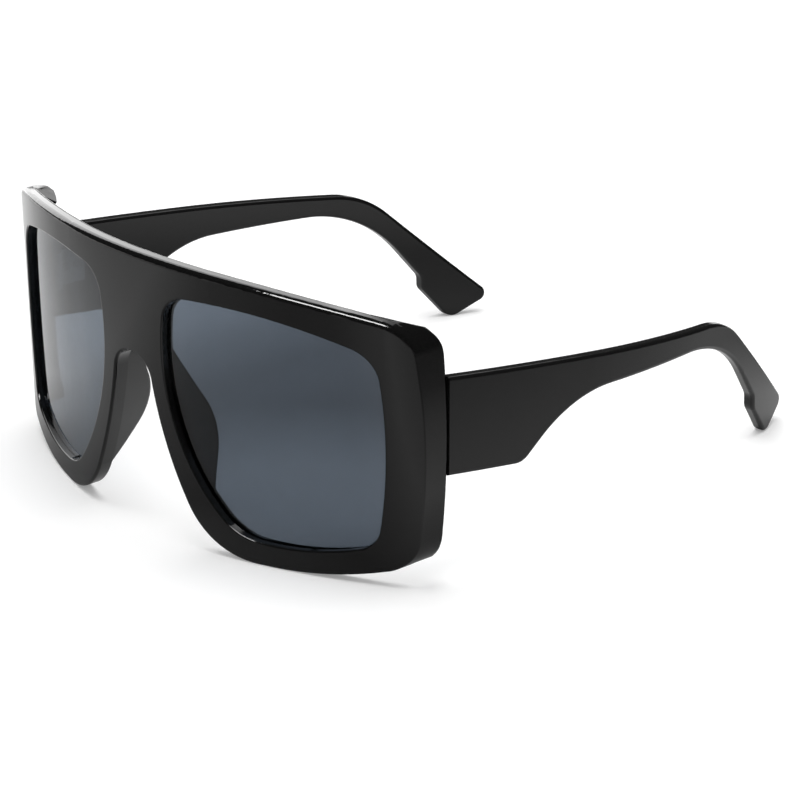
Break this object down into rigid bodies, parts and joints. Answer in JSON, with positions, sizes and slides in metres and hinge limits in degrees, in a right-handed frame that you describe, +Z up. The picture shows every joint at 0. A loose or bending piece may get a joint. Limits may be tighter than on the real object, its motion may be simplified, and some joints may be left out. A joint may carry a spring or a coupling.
{
  "type": "sunglasses",
  "caption": "Oversized sunglasses with a curved one-piece front, moulded nose pads, tinted lenses in grooves and wide stepped temples that fold on screwed hinges.",
  "frame": {"origin": "on the table under the middle of the whole length, in the plane of symmetry", "axes": "+X to the wearer's left, +Y back along the temples, +Z up from the table; the front looks along -Y"},
  "size_m": [0.1438, 0.1613, 0.0686],
  "materials": {
    "front_plastic": "polished black injection-moulded plastic",
    "temple_plastic": "polished black injection-moulded plastic",
    "lens_tint": "clear smoke-grey tinted plastic lens",
    "hinge_metal": "nickel-coloured hinge leaf, satin",
    "screw_steel": "bright steel screw"
  },
  "bodies": {
    "front": {"front_frame": "front_plastic", "lens_left": "lens_tint", "lens_right": "lens_tint", "front_hinge_leaf_left": "hinge_metal", "front_hinge_leaf_right": "hinge_metal", "hinge_screw_left": "screw_steel", "hinge_screw_right": "screw_steel"},
    "left_temple": {"temple_left": "temple_plastic", "temple_hinge_leaf_left": "hinge_metal", "temple_leaf_screws_left": "screw_steel"},
    "right_temple": {"temple_right": "temple_plastic", "temple_hinge_leaf_right": "hinge_metal", "temple_leaf_screws_right": "screw_steel"}
  },
  "joints": [
    {"name": "temple_left_fold", "type": "hinge", "parent": "front", "child": "left_temple", "pos_m": [0.06723, -0.04865, 0.0383], "axis": [0, 0, 1], "range_deg": [0, 74]},
    {"name": "temple_right_fold", "type": "hinge", "parent": "front", "child": "right_temple", "pos_m": [-0.06723, -0.04865, 0.0383], "axis": [0, 0, -1], "range_deg": [0, 83]}
  ]
}
